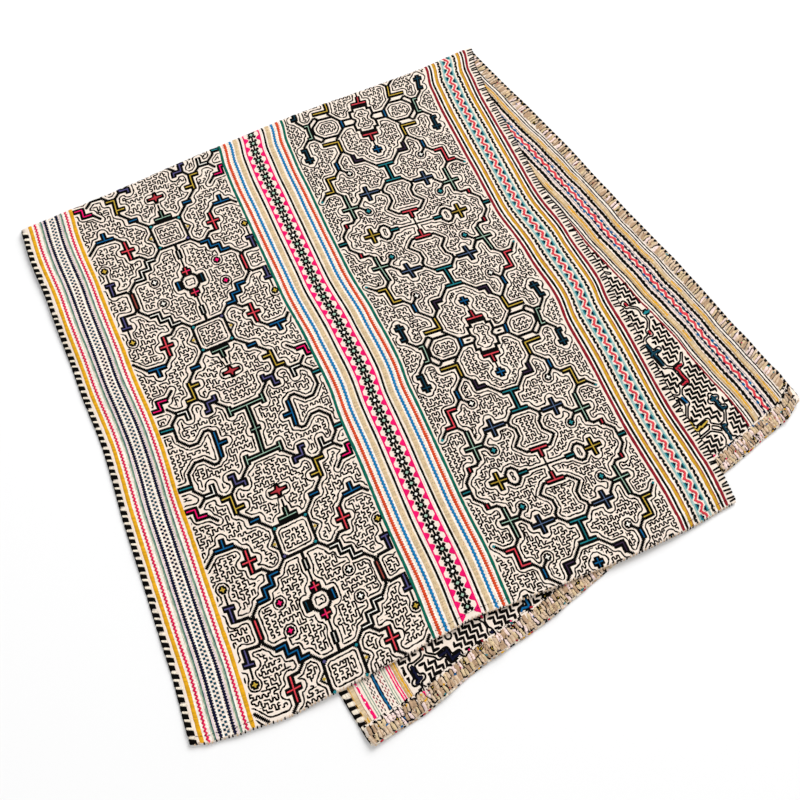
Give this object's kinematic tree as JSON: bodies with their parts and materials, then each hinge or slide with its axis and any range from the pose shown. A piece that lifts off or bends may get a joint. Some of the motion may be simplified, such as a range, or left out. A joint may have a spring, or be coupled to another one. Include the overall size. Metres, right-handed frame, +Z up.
{
  "type": "embroidered cloth panel",
  "caption": "Rectangular cotton cloth panel with fields of geometric line embroidery between striped bands, blanket-stitched edges, folded over at a slight turn and lying flat.",
  "frame": {"origin": "on the table, under the middle of the folded cloth", "axes": "+Z up through the layers; +Y from the near hem towards the fold along the upper layer; +X across the cloth's width to the right"},
  "size_m": [0.8554, 0.8488, 0.0082],
  "materials": {
    "cotton_cloth": "undyed plain-weave cotton, matt",
    "embroidery_thread": "twisted cotton embroidery thread, matt with a faint sheen"
  },
  "bodies": {
    "root": {"cloth": "cotton_cloth"}
  },
  "joints": []
}
